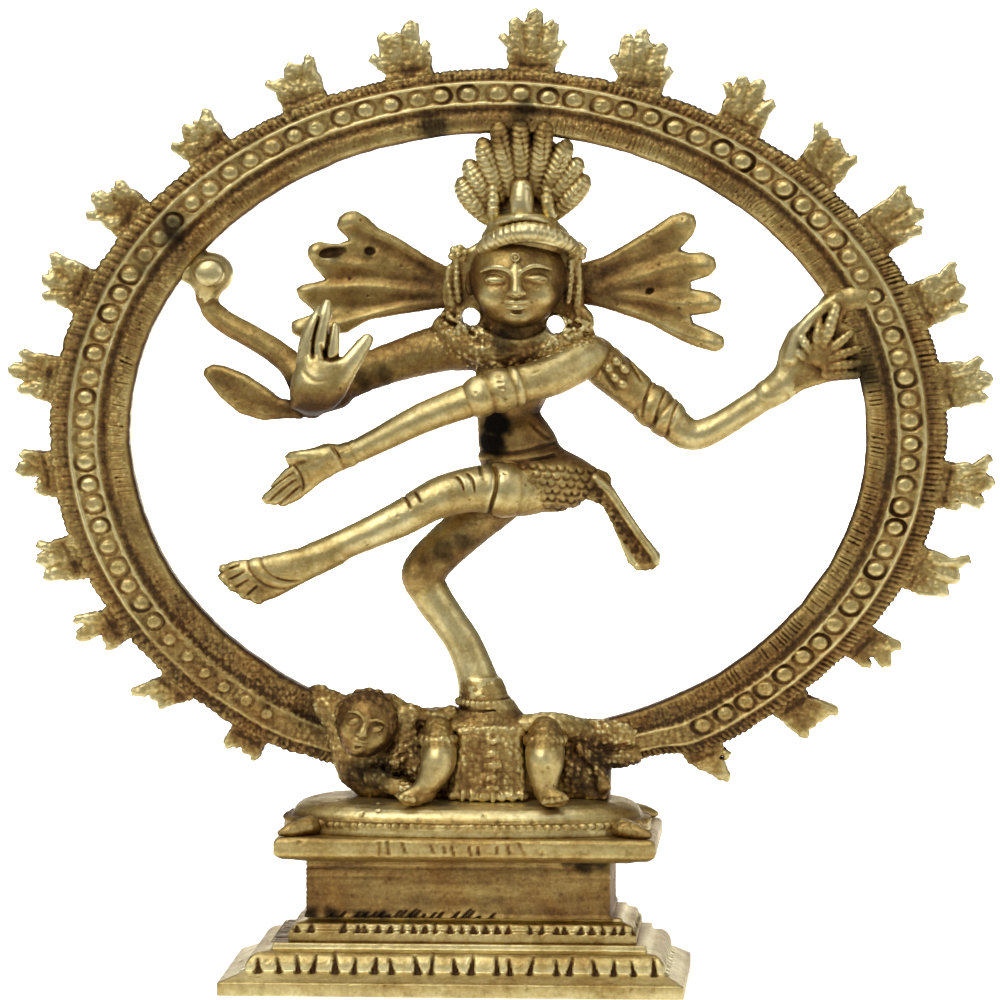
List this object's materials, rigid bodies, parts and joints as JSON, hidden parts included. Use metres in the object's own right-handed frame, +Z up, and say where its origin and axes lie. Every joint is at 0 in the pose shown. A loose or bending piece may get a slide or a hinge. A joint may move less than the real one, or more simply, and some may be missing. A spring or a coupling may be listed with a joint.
{
  "type": "brass dancing figure statue",
  "caption": "Small cast brass statue of a four-armed dancer on one foot inside an oval ring of flames, on a stepped hollow plinth.",
  "frame": {"origin": "centre of the statue's width and depth, on the surface the plinth rests on", "axes": "+Z up, +X to the right of a viewer who faces the statue, the dancer faces -Y"},
  "size_m": [0.1483, 0.036, 0.1463],
  "materials": {
    "plinth_brass": "filed and brushed, satin, brown in the cuts",
    "aged_brass": "sand-cast, rubbed bright on the high points, brown patina in the recesses",
    "ring_brass": "sand-cast with punched and chased patterns, brown patina in the recesses",
    "figure_brass": "polished high points, satin, brown patina in the engraved lines"
  },
  "bodies": {
    "root": {"plinth_foot": "plinth_brass", "plinth_step": "plinth_brass", "plinth_neck": "plinth_brass", "plinth_cap": "plinth_brass", "lotus_dais": "aged_brass", "dais_corner_leaves": "aged_brass", "dwarf_body": "aged_brass", "dwarf_head": "aged_brass", "dwarf_left_limb": "aged_brass", "dwarf_right_limb": "aged_brass", "dwarf_apron": "aged_brass", "aureole_ring": "ring_brass", "aureole_flames": "ring_brass", "standing_leg": "figure_brass", "standing_foot": "figure_brass", "raised_leg": "figure_brass", "raised_foot": "figure_brass", "hip_cloth": "figure_brass", "sash_end": "figure_brass", "torso": "figure_brass", "crossing_arm": "figure_brass", "crossing_hand": "figure_brass", "fire_arm": "figure_brass", "fire_hand": "figure_brass", "blessing_arm": "figure_brass", "blessing_hand": "figure_brass", "drum_arm": "figure_brass", "drum": "figure_brass", "cobra_hood": "figure_brass", "collar": "figure_brass", "head": "figure_brass", "ear_flowers": "figure_brass", "diadem": "figure_brass", "crest": "figure_brass", "hair_locks_left": "figure_brass", "hair_locks_right": "figure_brass"}
  },
  "joints": []
}
